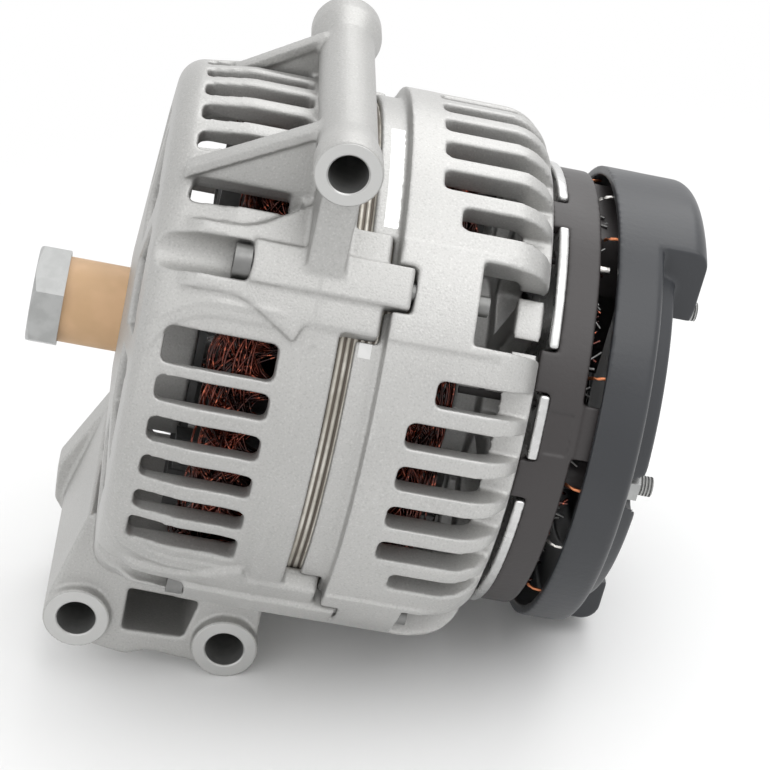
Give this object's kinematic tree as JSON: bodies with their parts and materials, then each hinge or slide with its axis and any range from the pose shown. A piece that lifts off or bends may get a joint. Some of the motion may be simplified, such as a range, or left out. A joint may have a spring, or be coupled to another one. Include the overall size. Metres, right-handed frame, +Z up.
{
  "type": "vehicle alternator",
  "caption": "Claw-pole alternator without its pulley: slotted cast brackets, wound stator, rotor in ball bearings, rectifier and brush gear under a dark rear cover.",
  "frame": {"origin": "on the shaft axis, in the middle of the seat that the pulley goes on", "axes": "+X along the shaft from the pulley end to the rear cover, +Y along the three mounting bores away from the near faces of the ears, +Z up from the ears to the mounting tube"},
  "size_m": [0.1691, 0.1396, 0.1687],
  "materials": {
    "cast_aluminium": "as cast, with machined bores and faces",
    "sheet_aluminium": "bare pressed sheet",
    "laminations": "stacked sheet edges, varnished",
    "winding_copper": "enamelled copper wire",
    "bolt_steel": "zinc plated",
    "bearing_steel": "ground",
    "forged_steel": "forged and turned",
    "shaft_steel": "turned",
    "pressed_steel": "pressed sheet",
    "sleeve_plastic": "matte",
    "inner_plastic": "moulded, slightly brown black",
    "cover_plastic": "moulded, soft sheen",
    "bobbin_plastic": "moulded",
    "slip_ring_copper": "polished",
    "carbon": "pressed carbon",
    "spring_steel": "drawn wire",
    "tinned_wire": "tinned copper",
    "pin_brass": "tinned"
  },
  "bodies": {
    "housing": {"drive_end_bracket": "cast_aluminium", "rear_bracket": "cast_aluminium", "stator_core": "laminations", "stator_winding": "winding_copper", "through_bolts": "bolt_steel", "front_bearing_outer_race": "bearing_steel", "rear_bearing_outer_race": "bearing_steel", "rear_bearing_sleeve": "inner_plastic", "bearing_retainer": "pressed_steel", "retainer_screws": "bolt_steel", "negative_heat_sink": "sheet_aluminium", "positive_heat_sink": "sheet_aluminium", "negative_diodes": "bolt_steel", "positive_diodes": "bolt_steel", "connection_ring": "inner_plastic", "phase_leads": "tinned_wire", "rear_cover": "cover_plastic", "plug_pins": "pin_brass", "cover_studs": "bolt_steel", "cover_nuts": "bolt_steel", "battery_stud": "bolt_steel", "battery_nut": "bolt_steel", "brush_holder": "inner_plastic", "regulator": "inner_plastic", "brush_spring_negative": "spring_steel", "brush_spring_positive": "spring_steel"},
    "rotor": {"rotor_shaft": "shaft_steel", "pulley_nut": "bolt_steel", "shaft_sleeve": "sleeve_plastic", "thrust_collar": "shaft_steel", "claw_pole_front": "forged_steel", "claw_pole_rear": "forged_steel", "coil_bobbin": "bobbin_plastic", "field_coil": "winding_copper", "front_fan": "pressed_steel", "rear_fan": "pressed_steel", "slip_ring_insulator": "inner_plastic", "slip_ring_inner": "slip_ring_copper", "slip_ring_outer": "slip_ring_copper", "front_bearing_inner_race": "bearing_steel", "rear_bearing_inner_race": "bearing_steel"},
    "front_ball_set": {"front_bearing_balls": "bearing_steel"},
    "rear_ball_set": {"rear_bearing_balls": "bearing_steel"},
    "negative_brush": {"brush_negative": "carbon"},
    "positive_brush": {"brush_positive": "carbon"}
  },
  "joints": [
    {"name": "rotor_spin", "type": "hinge", "parent": "housing", "child": "rotor", "pos_m": [0, 0, 0], "axis": [1, 0, 0], "continuous": true},
    {"name": "front_balls_spin", "type": "hinge", "parent": "housing", "child": "front_ball_set", "pos_m": [0.0198, 0, 0], "axis": [1, 0, 0], "continuous": true},
    {"name": "rear_balls_spin", "type": "hinge", "parent": "housing", "child": "rear_ball_set", "pos_m": [0.0985, 0, 0], "axis": [1, 0, 0], "continuous": true},
    {"name": "negative_brush_slide", "type": "slide", "parent": "housing", "child": "negative_brush", "axis": [0, 0, 1], "range_m": [0, 0.007], "stiffness_N_per_m": 200, "springref_m": -0.012, "deforming": ["brush_spring_negative"]},
    {"name": "positive_brush_slide", "type": "slide", "parent": "housing", "child": "positive_brush", "axis": [0, 0, 1], "range_m": [0, 0.007], "stiffness_N_per_m": 200, "springref_m": -0.012, "deforming": ["brush_spring_positive"]}
  ],
  "couplings": [
    {"joint": "front_balls_spin", "follows": "rotor_spin", "ratio": 0.34769},
    {"joint": "rear_balls_spin", "follows": "rotor_spin", "ratio": 0.39033}
  ]
}
